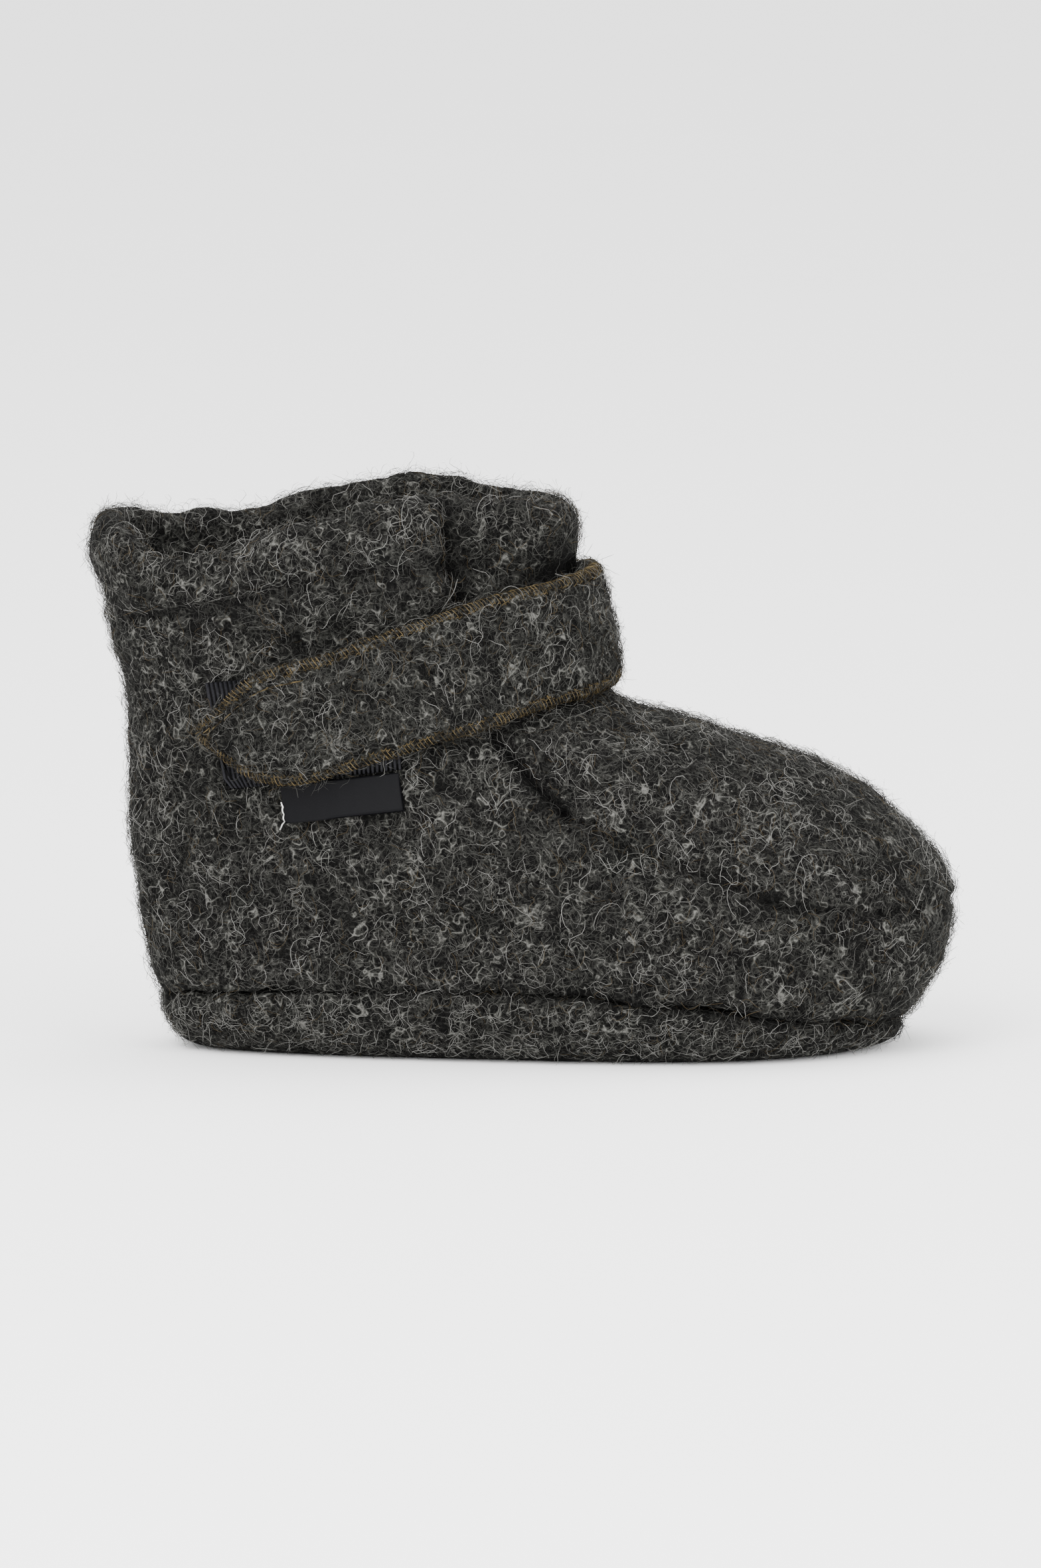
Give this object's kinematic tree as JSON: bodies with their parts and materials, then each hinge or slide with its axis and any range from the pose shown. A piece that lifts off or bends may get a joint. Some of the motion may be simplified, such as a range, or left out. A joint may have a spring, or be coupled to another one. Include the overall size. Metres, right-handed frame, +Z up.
{
  "type": "slipper bootie",
  "caption": "Child's ankle-high slipper bootie in thick boiled wool, with a wrapped hook-and-loop strap, a soft cupped sole and an open collar.",
  "frame": {"origin": "on the floor plane, under the middle of the bounding box", "axes": "+X towards the toe, +Y towards the wearer's left, which is the inner side of this right shoe, +Z up"},
  "size_m": [0.1428, 0.0604, 0.0928],
  "materials": {
    "sole_wool": "fuzzy charcoal melange boiled wool",
    "upper_wool": "fuzzy charcoal melange boiled wool",
    "tongue_wool": "fuzzy charcoal melange boiled wool",
    "strap_wool": "fuzzy charcoal melange boiled wool",
    "patch_tape": "ribbed black hook-and-loop tape",
    "label_satin": "dark woven satin"
  },
  "bodies": {
    "root": {"sole": "sole_wool", "upper": "upper_wool", "tongue": "tongue_wool", "strap": "strap_wool", "fastening_patch": "patch_tape", "side_label": "label_satin"}
  },
  "joints": []
}
